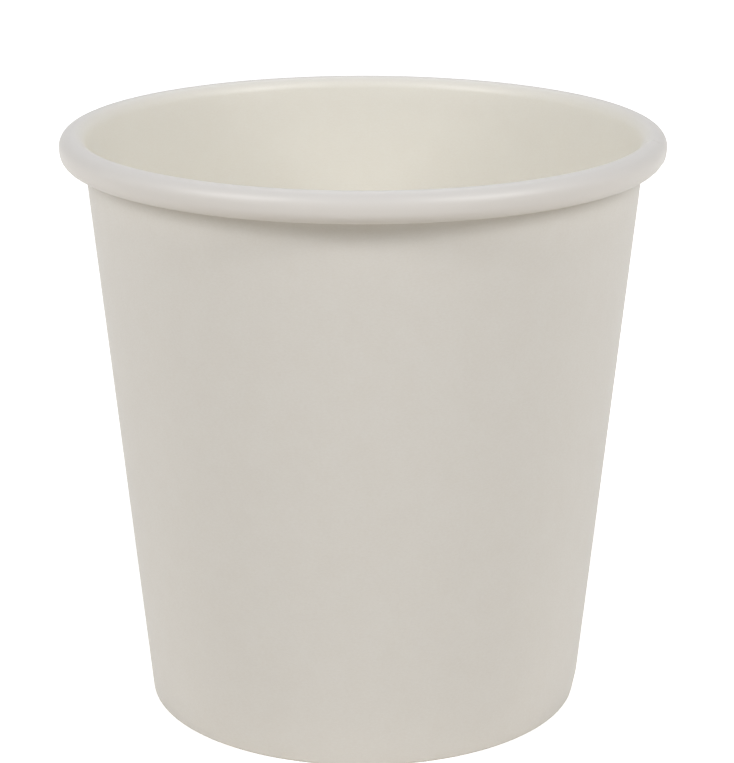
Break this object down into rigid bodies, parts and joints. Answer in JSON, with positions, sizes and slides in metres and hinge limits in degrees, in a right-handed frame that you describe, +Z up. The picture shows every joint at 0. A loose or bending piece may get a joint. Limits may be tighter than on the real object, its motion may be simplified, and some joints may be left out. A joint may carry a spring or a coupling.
{
  "type": "paper cup",
  "caption": "Small plain paper cup: tapered board wall with a lapped seam, an outward rolled lip, a folded foot and a recessed base disc.",
  "frame": {"origin": "centre of the foot, on the surface that the cup stands on", "axes": "+Z up along the cup's axis to the lip, +Y away from the viewer of the picture, +X to the viewer's right, close to the lapped seam"},
  "size_m": [0.062, 0.062, 0.0608],
  "materials": {
    "wall_board": "smooth white paperboard, coated inside, satin",
    "base_board": "smooth white paperboard, coated inside, satin"
  },
  "bodies": {
    "root": {"side_wall": "wall_board", "base_disc": "base_board"}
  },
  "joints": []
}
